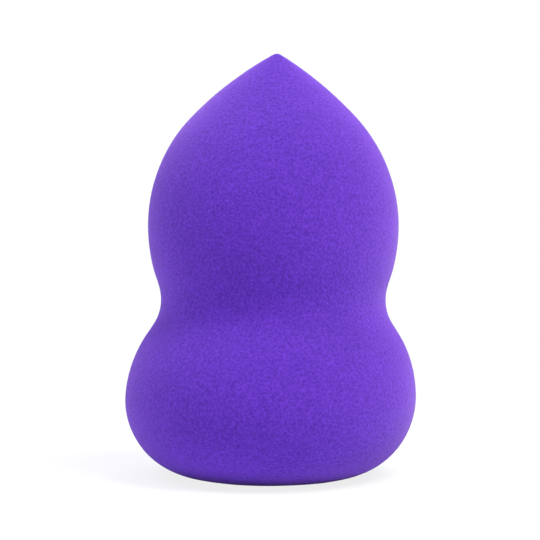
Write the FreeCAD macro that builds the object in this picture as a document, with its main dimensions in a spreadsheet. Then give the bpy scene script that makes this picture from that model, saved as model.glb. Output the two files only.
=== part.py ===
import FreeCAD, Part
import math
import os

import Sketcher

# A gourd-shaped makeup sponge: one moulded piece of soft foam that stands on its flat base
# with its point up. +Z is up and the origin is the middle of the base.

# The driving dimensions: alias, value, meaning. Lengths are millimetres and turns are degrees.
SIZES = [
    ("base_round_radius", "10.9", "quarter round from the flat base to the lower bulb's widest girth"),
    ("shoulder_height", "14.2", "from the lower bulb's widest girth up to the waist"),
    ("neck_height", "10.5", "from the waist up to the upper bulb's widest girth"),
    ("crown_height", "24.4", "from the upper bulb's widest girth up to the tip"),
    ("upper_bulb_diameter", "35.5", "across the upper bulb's widest girth"),
    ("waist_depth", "1.8", "how far the waist is drawn in from the upper bulb"),
    ("lower_bulb_flare", "4.7", "how far the lower bulb stands out from the waist"),
    ("waist_radius", "6.7", "hollow of the waist, in profile"),
    ("crown_turn", "43.8", "how far the round crown leans in before the flank takes over"),
    ("flank_turn", "15.7", "how much further the flatter flank leans in on its way to the tip"),
    ("tip_radius", "1.2", "blunting of the point"),
]

doc = FreeCAD.newDocument("makeup_sponge")


def make_sheet():
    sheet = doc.addObject("Spreadsheet::Sheet", "sizes")
    for row, (alias, value, meaning) in enumerate(SIZES, start=1):
        sheet.set(f"A{row}", value)
        sheet.setAlias(f"A{row}", alias)
        sheet.set(f"B{row}", meaning)
    doc.recompute()
    return sheet


def arc(centre_x, centre_z, radius, start, end):
    centre = FreeCAD.Vector(centre_x, centre_z, 0)
    return Part.ArcOfCircle(Part.Circle(centre, FreeCAD.Vector(0, 0, 1), radius), start, end)


def line(x0, z0, x1, z1):
    return Part.LineSegment(FreeCAD.Vector(x0, z0, 0), FreeCAD.Vector(x1, z1, 0))


def ogee_radii_sum(rise, step):
    # Two arcs make an S between two upright tangents that are this far apart up and across.
    return (rise**2 + step**2) / (2 * step)


def crown_and_flank_radii(across, rise, crown_turn, tip_turn):
    # Two arcs lean in from upright by crown_turn and then to tip_turn, and together cover
    # the given distances across and up: two linear equations for the two radii.
    crown_across = 1 - math.cos(crown_turn)
    flank_across = math.cos(crown_turn) - math.cos(tip_turn)
    crown_up = math.sin(crown_turn)
    flank_up = math.sin(tip_turn) - math.sin(crown_turn)
    whole = crown_across * flank_up - flank_across * crown_up
    crown_radius = (across * flank_up - flank_across * rise) / whole
    flank_radius = (crown_across * rise - across * crown_up) / whole
    return crown_radius, flank_radius


def profile_geometry(sheet):
    # Half of the outline, in the order that it runs: out along the base, up the side to the
    # tip, and down the axis. The constraints then hold these arcs to the sheet.
    size = {alias: float(sheet.get(alias)) for alias, _, _ in SIZES}
    upper_reach = size["upper_bulb_diameter"] / 2
    waist_reach = upper_reach - size["waist_depth"]
    lower_reach = waist_reach + size["lower_bulb_flare"]
    lower_level = size["base_round_radius"]
    waist_level = lower_level + size["shoulder_height"]
    upper_level = waist_level + size["neck_height"]
    tip_level = upper_level + size["crown_height"]

    flat_reach = lower_reach - size["base_round_radius"]
    waist_radius = size["waist_radius"]
    shoulder_sum = ogee_radii_sum(size["shoulder_height"], size["lower_bulb_flare"])
    shoulder_radius = shoulder_sum - waist_radius
    shoulder_turn = math.asin(size["shoulder_height"] / shoulder_sum)
    neck_sum = ogee_radii_sum(size["neck_height"], size["waist_depth"])
    underside_radius = neck_sum - waist_radius
    underside_turn = math.asin(size["neck_height"] / neck_sum)

    crown_turn = math.radians(size["crown_turn"])
    tip_turn = crown_turn + math.radians(size["flank_turn"])
    tip_radius = size["tip_radius"]
    tip_centre = tip_level - tip_radius
    crown_radius, flank_radius = crown_and_flank_radii(
        upper_reach - tip_radius * math.cos(tip_turn),
        tip_centre + tip_radius * math.sin(tip_turn) - upper_level,
        crown_turn,
        tip_turn,
    )
    crown_centre = upper_reach - crown_radius
    flank_x = crown_centre + (crown_radius - flank_radius) * math.cos(crown_turn)
    flank_z = upper_level + (crown_radius - flank_radius) * math.sin(crown_turn)

    upright = math.pi / 2
    return [
        line(0, 0, flat_reach, 0),
        arc(flat_reach, lower_level, lower_level, -upright, 0),
        arc(lower_reach - shoulder_radius, lower_level, shoulder_radius, 0, shoulder_turn),
        arc(
            waist_reach + waist_radius,
            waist_level,
            waist_radius,
            math.pi - underside_turn,
            math.pi + shoulder_turn,
        ),
        arc(upper_reach - underside_radius, upper_level, underside_radius, -underside_turn, 0),
        arc(crown_centre, upper_level, crown_radius, 0, crown_turn),
        arc(flank_x, flank_z, flank_radius, crown_turn, tip_turn),
        arc(0, tip_centre, tip_radius, tip_turn, upright),
        line(0, tip_level, 0, 0),
    ]


def draw_profile(body, sheet):
    sketch = body.newObject("Sketcher::SketchObject", "gourd_profile")
    plane = next(f for f in body.Origin.OriginFeatures if f.Role == "XZ_Plane")
    sketch.AttachmentSupport = (plane, [""])
    sketch.MapMode = "FlatFace"
    (base, base_round, shoulder, waist, underside, crown, flank, tip, axis) = sketch.addGeometry(
        profile_geometry(sheet), False
    )
    start, end, centre = 1, 2, 3
    origin = (-1, start)
    upright_axis = -2

    def fix(kind, *where):
        return sketch.addConstraint(Sketcher.Constraint(kind, *where))

    def drive(name, expression, kind, *where):
        value = FreeCAD.Units.Quantity(sketch.evalExpression(expression)).Value
        if kind == "Angle":
            value = math.radians(value)
        index = fix(kind, *where, value)
        sketch.renameConstraint(index, name)
        sketch.setExpression("Constraints." + name, expression)

    # The outline is closed on the axis, and every join along the side is smooth.
    fix("Coincident", base, start, *origin)
    fix("Horizontal", base)
    fix("Tangent", base, end, base_round, start)
    fix("Tangent", base_round, end, shoulder, start)
    fix("Tangent", shoulder, end, waist, end)
    fix("Tangent", waist, start, underside, start)
    fix("Tangent", underside, end, crown, start)
    fix("Tangent", crown, end, flank, start)
    fix("Tangent", flank, end, tip, start)
    fix("Coincident", tip, end, axis, start)
    fix("Coincident", axis, end, *origin)
    fix("Vertical", axis)
    fix("PointOnObject", tip, centre, upright_axis)
    # The side stands upright at both of the widest girths.
    fix("Horizontal", base_round, centre, base_round, end)
    fix("Horizontal", underside, centre, underside, end)

    upper_reach = "sizes.upper_bulb_diameter / 2"
    waist_reach = upper_reach + " - sizes.waist_depth"
    drive("base_round_radius", "sizes.base_round_radius", "Radius", base_round)
    drive("shoulder_height", "sizes.shoulder_height", "DistanceY", base_round, end, waist, centre)
    drive("neck_height", "sizes.neck_height", "DistanceY", waist, centre, underside, end)
    drive("crown_height", "sizes.crown_height", "DistanceY", underside, end, tip, end)
    drive("upper_reach", upper_reach, "DistanceX", *origin, underside, end)
    drive("lower_reach", waist_reach + " + sizes.lower_bulb_flare", "DistanceX", *origin, base_round, end)
    drive("waist_centre", waist_reach + " + sizes.waist_radius", "DistanceX", *origin, waist, centre)
    drive("waist_radius", "sizes.waist_radius", "Radius", waist)
    drive("tip_radius", "sizes.tip_radius", "Radius", tip)
    drive("crown_turn", "sizes.crown_turn * 1 deg", "Angle", crown)
    drive("flank_turn", "sizes.flank_turn * 1 deg", "Angle", flank)
    return sketch


def make_sponge_body(sheet):
    # The foam is shaped as a solid of revolution, so one profile turned about its axis makes it.
    body = doc.addObject("PartDesign::Body", "sponge_body")
    body.Label = "sponge_body"
    sketch = draw_profile(body, sheet)
    turned = body.newObject("PartDesign::Revolution", "turned_foam")
    turned.Profile = sketch
    turned.ReferenceAxis = (sketch, ["V_Axis"])
    turned.Angle = 360
    body.Tip = turned
    return body


def check(parts):
    doc.recompute()
    broken = [o.Name for o in doc.Objects if {"Invalid", "Error"} & set(o.State)]
    if broken:
        raise RuntimeError(f"these objects failed to compute: {broken}")
    for part in parts:
        if part.Shape.isNull() or not part.Shape.isValid() or part.Shape.Volume <= 0:
            raise RuntimeError(f"{part.Label} has no valid solid")


def export(parts):
    os.makedirs("parts", exist_ok=True)
    for part in parts:
        part.Shape.exportStep(f"parts/{part.Label}.step")
        box = part.Shape.BoundBox
        print(
            f"{part.Label}: {box.XLength:.2f} x {box.YLength:.2f} x {box.ZLength:.2f} mm,"
            f" {part.Shape.Volume / 1000:.2f} cm3"
        )


def main():
    sheet = make_sheet()
    parts = [make_sponge_body(sheet)]
    check(parts)
    export(parts)


main()
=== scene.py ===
import math

import bpy
import numpy as np
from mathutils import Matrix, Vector


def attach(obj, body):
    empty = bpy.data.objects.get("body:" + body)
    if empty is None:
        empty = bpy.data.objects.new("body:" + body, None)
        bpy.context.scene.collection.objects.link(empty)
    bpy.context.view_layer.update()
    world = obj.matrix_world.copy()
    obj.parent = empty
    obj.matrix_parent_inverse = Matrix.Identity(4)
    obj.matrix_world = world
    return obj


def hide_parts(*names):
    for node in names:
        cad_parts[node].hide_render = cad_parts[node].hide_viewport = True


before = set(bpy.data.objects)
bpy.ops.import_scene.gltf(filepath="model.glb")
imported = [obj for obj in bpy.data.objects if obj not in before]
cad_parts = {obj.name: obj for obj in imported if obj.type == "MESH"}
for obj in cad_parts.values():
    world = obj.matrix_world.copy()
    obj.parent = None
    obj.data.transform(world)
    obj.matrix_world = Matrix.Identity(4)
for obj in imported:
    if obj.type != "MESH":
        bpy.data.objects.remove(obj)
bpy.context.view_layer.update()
mm = 0.001
print("frame loaded")


def deselectAll():
    bpy.ops.object.select_all(action="DESELECT")


# camera, a little above the sponge and a good way back
cameraView = {
    "distance": 600 * mm,  # from the lens to the point it is aimed at
    "elevation": math.radians(6),
    "aimHeight": 29.33 * mm,
    "lens": 281.94,  # millimetres, on the sensor below
    "sensor": 36,
    "clipStart": 10 * mm,
}
aimPoint = Vector((0, 0, cameraView["aimHeight"]))


def addCamera():
    deselectAll()
    tilt = cameraView["elevation"]
    back = Vector((0, -math.cos(tilt), math.sin(tilt)))
    bpy.ops.object.camera_add(
        location=aimPoint + back * cameraView["distance"],
        rotation=(math.pi / 2 - tilt, 0, 0),
    )
    camera = bpy.context.object
    camera.data.lens = cameraView["lens"]
    camera.data.sensor_width = cameraView["sensor"]
    camera.data.clip_start = cameraView["clipStart"]
    bpy.context.scene.camera = camera


addCamera()
print("camera placed")

# the sponge's form in millimetres, as in the solid: arcs that run into each other from the flat
# base, round the lower bulb, in at the waist, out over the upper bulb and up to the point.
# Soft foam never stands quite true: the upper bulb sits a little to one side of the lower one,
# the point bends further the same way, and the front is tilted up a little above the base
spongeForm = {
    "baseRound": 10.9,
    "shoulderHeight": 14.2,
    "neckHeight": 10.5,
    "crownHeight": 24.4,
    "upperBulb": 35.5,
    "waistDepth": 1.8,
    "lowerFlare": 4.7,
    "waistHollow": 6.7,
    "crownTurn": 43.8,  # degrees, like the next
    "flankTurn": 15.7,
    "tipRound": 1.2,
    "upperShift": 0.47,
    "shiftLevels": (6, 25),  # heights between which the shift comes in
    "tipBend": 0.52,
    "bendLevels": (48, 60),
    "tilt": 2.5,  # degrees
    "tiltLevels": (2, 12),
    "columns": 80,
    "ringGap": 1.6,
    "mergeGap": 0.001,  # points nearer than this are one
    "smoothing": 3,  # subdivision levels
    "smoothingQuality": 4,
}


def ogeeSum(rise, step):  # radii of the two arcs of an S, added up
    return (rise**2 + step**2) / (2 * step)


def profileArcs():
    form = spongeForm
    upperReach = form["upperBulb"] / 2
    waistReach = upperReach - form["waistDepth"]
    lowerReach = waistReach + form["lowerFlare"]
    lowerLevel = form["baseRound"]
    waistLevel = lowerLevel + form["shoulderHeight"]
    upperLevel = waistLevel + form["neckHeight"]
    tipLevel = upperLevel + form["crownHeight"]
    flatReach = lowerReach - form["baseRound"]

    # in from the lower bulb to the waist, and out again to the upper one
    hollow = form["waistHollow"]
    shoulderSum = ogeeSum(form["shoulderHeight"], form["lowerFlare"])
    shoulderRound = shoulderSum - hollow
    shoulderTurn = math.asin(form["shoulderHeight"] / shoulderSum)
    neckSum = ogeeSum(form["neckHeight"], form["waistDepth"])
    neckRound = neckSum - hollow
    neckTurn = math.asin(form["neckHeight"] / neckSum)

    # crown and flank: the two radii that bring the outline to the rounded point
    crownTurn = math.radians(form["crownTurn"])
    tipTurn = crownTurn + math.radians(form["flankTurn"])
    tipCentre = tipLevel - form["tipRound"]
    across = upperReach - form["tipRound"] * math.cos(tipTurn)
    rise = tipCentre + form["tipRound"] * math.sin(tipTurn) - upperLevel
    turns = np.array([
        [1 - math.cos(crownTurn), math.cos(crownTurn) - math.cos(tipTurn)],
        [math.sin(crownTurn), math.sin(tipTurn) - math.sin(crownTurn)],
    ])
    crownRound, flankRound = np.linalg.solve(turns, [across, rise])
    flankX = upperReach - crownRound + (crownRound - flankRound) * math.cos(crownTurn)
    flankZ = upperLevel + (crownRound - flankRound) * math.sin(crownTurn)

    upright = math.pi / 2
    return flatReach, [  # centre across, centre up, radius, first angle, last angle
        (flatReach, lowerLevel, form["baseRound"], -upright, 0),
        (lowerReach - shoulderRound, lowerLevel, shoulderRound, 0, shoulderTurn),
        (waistReach + hollow, waistLevel, hollow, math.pi + shoulderTurn, math.pi - neckTurn),
        (upperReach - neckRound, upperLevel, neckRound, -neckTurn, 0),
        (upperReach - crownRound, upperLevel, crownRound, 0, crownTurn),
        (flankX, flankZ, flankRound, crownTurn, tipTurn),
        (0, tipCentre, form["tipRound"], tipTurn, upright),
    ]


def hullRadius(radius, step):  # smoothing draws a ring of points in, so they start further out
    return radius / (1 - (1 - math.cos(step)) / 3)


def profileRings():
    flatReach, arcs = profileArcs()
    gap = spongeForm["ringGap"]
    flatRings = round(flatReach / gap)
    rings = [(flatReach * (i + 1) / flatRings, 0.0) for i in range(flatRings)]
    for centreX, centreZ, radius, first, last in arcs:
        count = max(2, round(radius * abs(last - first) / gap))  # at least two to an arc
        step = (last - first) / count
        reach = hullRadius(radius, step)
        for i in range(1, count + 1):
            angle = first + step * i
            rings.append((centreX + reach * math.cos(angle), centreZ + reach * math.sin(angle)))
    return rings[:-1], rings[-1][1]


def ease(value, low, high):  # from 0 to 1, slowly at both ends
    share = min(max((value - low) / (high - low), 0), 1)
    return share * share * (3 - 2 * share)


def leanAt(level):
    form = spongeForm
    bendFrom, bendTo = form["bendLevels"]
    bend = max(0, (level - bendFrom) / (bendTo - bendFrom))
    return form["upperShift"] * ease(level, *form["shiftLevels"]) + form["tipBend"] * bend**2


def raiseRim(fromLevel, toLevel):  # extrudes the open rim up the leaning axis
    shift = leanAt(toLevel) - leanAt(fromLevel)
    bpy.ops.mesh.extrude_edges_move(
        TRANSFORM_OT_translate={"value": (shift * mm, 0, (toLevel - fromLevel) * mm)}
    )


def modelSponge():
    rings, tipLevel = profileRings()
    widen = hullRadius(1, 2 * math.pi / spongeForm["columns"])
    deselectAll()
    reach, level = rings[0]
    bpy.ops.mesh.primitive_circle_add(
        vertices=spongeForm["columns"], radius=reach * widen * mm, fill_type="TRIFAN", calc_uvs=False
    )
    sponge = bpy.context.object
    sponge.name = "sponge"
    bpy.ops.object.mode_set(mode="EDIT")
    bpy.ops.mesh.select_mode(type="EDGE")
    bpy.ops.mesh.select_all(action="DESELECT")
    bpy.ops.mesh.select_non_manifold()  # the circle's rim
    for newReach, newLevel in rings[1:]:
        raiseRim(level, newLevel)
        grow = newReach / reach
        bpy.ops.transform.resize(
            value=(grow, grow, 1), center_override=(leanAt(newLevel) * mm, 0, newLevel * mm)
        )
        reach, level = newReach, newLevel
    raiseRim(level, tipLevel)
    bpy.ops.mesh.merge(type="CENTER")  # the point
    bpy.ops.mesh.select_all(action="SELECT")
    bpy.ops.mesh.remove_doubles(threshold=spongeForm["mergeGap"] * mm)
    bpy.ops.mesh.normals_make_consistent(inside=False)
    bpy.ops.object.mode_set(mode="OBJECT")
    return sponge


def unwrapSponge(sponge):  # longitude and latitude about the middle of the waist, open at the back
    mesh = sponge.data
    waistLevel = (spongeForm["baseRound"] + spongeForm["shoulderHeight"]) * mm

    def sideways(point):  # from the leaning axis
        return point.x - leanAt(point.z / mm) * mm

    def longitude(point):
        return math.atan2(sideways(point), -point.y) / (2 * math.pi)

    layer = mesh.uv_layers.new(name="OFBake")  # the surface map of longitude and latitude
    for face in mesh.polygons:
        middle = longitude(face.center)
        for loop, vertex in zip(face.loop_indices, face.vertices):
            point = mesh.vertices[vertex].co
            reach = math.hypot(sideways(point), point.y)
            onAxis = reach < spongeForm["mergeGap"] * mm
            turn = middle if onAxis else longitude(point)
            turn -= round(turn - middle)
            latitude = math.atan2(point.z - waistLevel, reach) / math.pi
            layer.data[loop].uv = (0.5 + turn, 0.5 + latitude)


def tiltSponge(sponge):  # the front up and the back down, coming in above the flat base
    slope = math.tan(math.radians(spongeForm["tilt"]))
    for vertex in sponge.data.vertices:
        share = ease(vertex.co.z / mm, *spongeForm["tiltLevels"])
        vertex.co.z -= vertex.co.y * slope * share


def applyModifier(piece, kind, **settings):
    deselectAll()
    piece.select_set(True)
    bpy.context.view_layer.objects.active = piece
    bpy.ops.object.modifier_add(type=kind)
    modifier = piece.modifiers[-1]
    for name, value in settings.items():
        setattr(modifier, name, value)
    bpy.ops.object.modifier_apply(modifier=modifier.name)


sponge = modelSponge()
unwrapSponge(sponge)
tiltSponge(sponge)
applyModifier(
    sponge,
    "SUBSURF",
    levels=spongeForm["smoothing"],
    render_levels=spongeForm["smoothing"],
    quality=spongeForm["smoothingQuality"],
)
bpy.ops.object.shade_smooth()
print("sponge modelled:", len(sponge.data.polygons), "faces")

# foam surface in millimetres: a slight swell over the whole form, then the pebbled grain of the
# cells at the surface. Both go as far out as in, so the sponge keeps its size
foamGrain = {
    "swell": {"size": 7.0, "depth": 0.08, "detail": 1},
    "pebble": {"size": 0.3, "depth": 0.05, "detail": 1},
}
grainMiddle = 0.5  # level of the texture that leaves a point where it is


def grainFoam(sponge):
    mesh = sponge.data
    count = len(mesh.vertices)
    smooth, normals, rough = (np.empty(count * 3, dtype=np.float32) for _ in range(3))
    mesh.vertices.foreach_get("normal", normals)
    for name, grain in foamGrain.items():
        mesh.vertices.foreach_get("co", smooth)
        texture = bpy.data.textures.new(name, "CLOUDS")
        texture.noise_scale = grain["size"] * mm
        texture.noise_depth = grain["detail"]
        applyModifier(
            sponge,
            "DISPLACE",
            texture=texture,
            texture_coords="LOCAL",
            direction="NORMAL",
            mid_level=grainMiddle,
            strength=grain["depth"] * mm,
        )
    # how far down each point of the pebbles lies, about 0 to 1, for the painted shade in the foam's
    # colour
    mesh.vertices.foreach_get("co", rough)
    inwards = ((smooth - rough) * normals).reshape(-1, 3).sum(1)
    sunk = grainMiddle + inwards / (foamGrain["pebble"]["depth"] * mm)
    depth = mesh.attributes.new("grainDepth", "FLOAT", "POINT")
    depth.data.foreach_set("value", sunk)
    rough[2::3] = np.maximum(rough[2::3], 0)  # pressed flat where it stands
    mesh.vertices.foreach_set("co", rough)
    mesh.update()


grainFoam(sponge)
print("foam grained")


def mathNode(tree, operation, first, second):
    node = tree.nodes.new("ShaderNodeMath")
    node.operation = operation
    for socket, value in zip(node.inputs, (first, second)):
        if isinstance(value, float):
            socket.default_value = value
        else:
            tree.links.new(value, socket)
    return node.outputs[0]


def rangeNode(tree, value, fromSpan, toSpan, blend="LINEAR"):
    node = tree.nodes.new("ShaderNodeMapRange")
    node.interpolation_type = blend
    for socket, number in zip(node.inputs[1:5], (*fromSpan, *toSpan)):
        socket.default_value = number
    tree.links.new(value, node.inputs["Value"])
    return node.outputs["Result"]


# foam material, dyed violet right through and painted darker as shade in its pits, with its sizes and
# depths in millimetres
foamLook = {
    "colour": (0.168, 0.0410, 0.655, 1),
    "shadeAndMottleColour": (0.075, 0.016, 0.40, 1),  # painted shade down in the grain, the grit and the pores, which the slow mottle of the dye also mixes toward
    "grainPaintedShade": 0.1,  # how much painted shade each of these three brings
    "gritPaintedShade": 0.78,
    "porePaintedShade": 0.15,
    "grainSpan": (0.25, 0.75),  # range of the grain's depth that the painted shade goes over
    "noiseSpan": (0.3, 0.7),  # and of the noise in the grit and the mottle
    "noiseDetail": 2,
    "mottleSize": 5.0,  # slow changes of the dye
    "mottle": 0.04,
    "poreSize": 0.45,
    "poreWidth": 0.6,  # share of a cell that its pore takes up
    "poreDepth": 0.03,
    "gritSize": 0.34,
    "gritDepth": 0.03,
    "roughness": (0.86, 0.98),  # between the pores and in them
    "diffuseRoughness": 1.0,
    "shine": 0.15,
    "sheen": 0.15,
    "sheenRoughness": 0.55,
    "sheenTint": (1.0, 0.72, 0.7, 1),
}


def foamMaterial():
    look = foamLook
    material = bpy.data.materials.new("violetFoam")
    material.use_nodes = True
    tree = material.node_tree
    nodes, links = tree.nodes, tree.links
    shader = nodes["Principled BSDF"]
    place = nodes.new("ShaderNodeTexCoord").outputs["Object"]

    def noise(size):
        node = nodes.new("ShaderNodeTexNoise")
        node.inputs["Scale"].default_value = 1 / (size * mm)
        node.inputs["Detail"].default_value = look["noiseDetail"]
        links.new(place, node.inputs["Vector"])
        return node.outputs["Fac"]

    # pores: a pit in the middle of each cell
    cells = nodes.new("ShaderNodeTexVoronoi")
    cells.inputs["Scale"].default_value = 1 / (look["poreSize"] * mm)
    links.new(place, cells.inputs["Vector"])
    pore = rangeNode(tree, cells.outputs["Distance"], (0, look["poreWidth"]), (1, 0))

    # colour: painted shade, darker down in the grain, the grit and the pores, with a slow mottle of the
    # dye
    sunk = nodes.new("ShaderNodeAttribute")
    sunk.attribute_name = "grainDepth"
    # painted shade where the pebbles of the mesh lie low
    grain = rangeNode(tree, sunk.outputs["Fac"], look["grainSpan"], (0, look["grainPaintedShade"]))
    grit = noise(look["gritSize"])
    # painted shade in the low parts of the grit, which the bump below also sinks
    gritPaintedShade = rangeNode(tree, grit, look["noiseSpan"], (look["gritPaintedShade"], 0))
    # painted shade in the pores
    porePaintedShade = mathNode(tree, "MULTIPLY", pore, look["porePaintedShade"])
    mottleSpan = (-look["mottle"], look["mottle"])
    mottle = rangeNode(tree, noise(look["mottleSize"]), look["noiseSpan"], mottleSpan)
    shadeAndMottle = grain
    for shade in (gritPaintedShade, porePaintedShade, mottle):
        shadeAndMottle = mathNode(tree, "ADD", shadeAndMottle, shade)
    # mixes the violet dye with the painted shade and the mottle
    dyeAndPaintedShade = nodes.new("ShaderNodeMix")
    dyeAndPaintedShade.data_type = "RGBA"
    dyeAndPaintedShade.clamp_factor = True
    dyeAndPaintedShade.inputs["A"].default_value = look["colour"]
    dyeAndPaintedShade.inputs["B"].default_value = look["shadeAndMottleColour"]
    links.new(shadeAndMottle, dyeAndPaintedShade.inputs["Factor"])
    links.new(dyeAndPaintedShade.outputs["Result"], shader.inputs["Base Color"])

    # bump: the pores, then the fine grit of the cut cell walls
    walls = mathNode(tree, "SUBTRACT", 1.0, pore)
    bumps = None
    for height, depth in ((walls, look["poreDepth"]), (grit, look["gritDepth"])):
        bump = nodes.new("ShaderNodeBump")
        bump.inputs["Distance"].default_value = depth * mm
        links.new(height, bump.inputs["Height"])
        if bumps:
            links.new(bumps, bump.inputs["Normal"])
        bumps = bump.outputs["Normal"]
    links.new(bumps, shader.inputs["Normal"])

    links.new(rangeNode(tree, pore, (0, 1), look["roughness"]), shader.inputs["Roughness"])
    shader.inputs["Diffuse Roughness"].default_value = look["diffuseRoughness"]
    shader.inputs["Specular IOR Level"].default_value = look["shine"]
    shader.inputs["Sheen Weight"].default_value = look["sheen"]
    shader.inputs["Sheen Roughness"].default_value = look["sheenRoughness"]
    shader.inputs["Sheen Tint"].default_value = look["sheenTint"]
    return material


sponge.data.materials.append(foamMaterial())
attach(sponge, "root")
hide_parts("sponge_body")
print("foam material made")

# stage: a white floor that runs off into a white background
stage = {
    "floorSize": 6.0,  # metres
    "floorColour": (0.9, 0.88, 0.95, 1),
    "floorGlow": (0.83, 1.0),  # how much of the floor is plain white to the camera, near and far
    "glowReach": (0.03, 0.12),  # metres from the sponge's axis over which it goes from near to far
    "worldColour": (1, 1, 1, 1),
    "worldLight": 0.003,  # strength on the sponge and the floor
    "worldSeen": 1.0,  # strength to the camera
}


def seenRays(tree):  # 1 for what the camera sees, straight, in gloss or through glass
    path = tree.nodes.new("ShaderNodeLightPath")
    seen = path.outputs["Is Camera Ray"]
    for ray in ("Is Glossy Ray", "Is Transmission Ray"):
        seen = mathNode(tree, "MAXIMUM", seen, path.outputs[ray])
    return seen


def floorMaterial():  # takes light and shade as matte, and mixes them with plain white
    material = bpy.data.materials.new("whiteFloor")
    material.use_nodes = True
    tree = material.node_tree
    nodes, links = tree.nodes, tree.links
    nodes.clear()
    place = nodes.new("ShaderNodeTexCoord")
    away = nodes.new("ShaderNodeVectorMath")
    away.operation = "LENGTH"
    links.new(place.outputs["Object"], away.inputs[0])
    glow = rangeNode(tree, away.outputs["Value"], stage["glowReach"], stage["floorGlow"], "SMOOTHSTEP")
    matte = nodes.new("ShaderNodeBsdfDiffuse")
    matte.inputs["Color"].default_value = stage["floorColour"]
    white = nodes.new("ShaderNodeEmission")
    mix = nodes.new("ShaderNodeMixShader")
    links.new(mathNode(tree, "MULTIPLY", seenRays(tree), glow), mix.inputs["Fac"])
    links.new(matte.outputs[0], mix.inputs[1])
    links.new(white.outputs[0], mix.inputs[2])
    out = nodes.new("ShaderNodeOutputMaterial")
    links.new(mix.outputs[0], out.inputs["Surface"])
    return material


def addStage():
    deselectAll()
    bpy.ops.mesh.primitive_plane_add(size=stage["floorSize"], location=(0, 0, 0))
    floor = bpy.context.object
    floor.name = "floor"
    floor.data.materials.append(floorMaterial())


def addWorld():
    world = bpy.data.worlds.new("studio")
    bpy.context.scene.world = world
    world.use_nodes = True
    tree = world.node_tree
    background = tree.nodes["Background"]
    background.inputs["Color"].default_value = stage["worldColour"]
    strength = tree.nodes.new("ShaderNodeMix")
    strength.inputs["A"].default_value = stage["worldLight"]
    strength.inputs["B"].default_value = stage["worldSeen"]
    tree.links.new(seenRays(tree), strength.inputs["Factor"])
    tree.links.new(strength.outputs["Result"], background.inputs["Strength"])


addStage()
addWorld()
print("stage set")

# lamps: four soft boxes, the key from the upper right, with turn and rise in degrees and power in watts
lamps = {
    "key": {"turn": 60, "rise": 57, "power": 8.7, "colour": (0.97, 1, 0.82)},
    "top": {"turn": 30, "rise": 70, "power": 1.6, "colour": (1, 0.99, 0.95)},
    "back": {"turn": 180, "rise": 70, "power": 2.0, "colour": (0.97, 1, 0.95)},
    "fill": {"turn": 270, "rise": 57, "power": 4.5, "colour": (0.81, 0.77, 1)},
}
lampSize = 0.45  # metres
lampReach = 0.8  # metres from the point that the camera is aimed at


def addLamp(name, turn, rise, power, colour):
    deselectAll()
    turn, rise = math.radians(turn), math.radians(rise)
    back = Vector((math.sin(turn) * math.cos(rise), -math.cos(turn) * math.cos(rise), math.sin(rise)))
    bpy.ops.object.light_add(
        type="AREA",
        location=aimPoint + back * lampReach,
        rotation=back.to_track_quat("Z", "Y").to_euler(),
    )
    lamp = bpy.context.object
    lamp.name = name
    lamp.data.size = lampSize
    lamp.data.energy = power
    lamp.data.color = colour


for name, settings in lamps.items():
    addLamp(name, **settings)
print("lamps lit")

bpy.context.scene.view_settings.view_transform = "Standard"
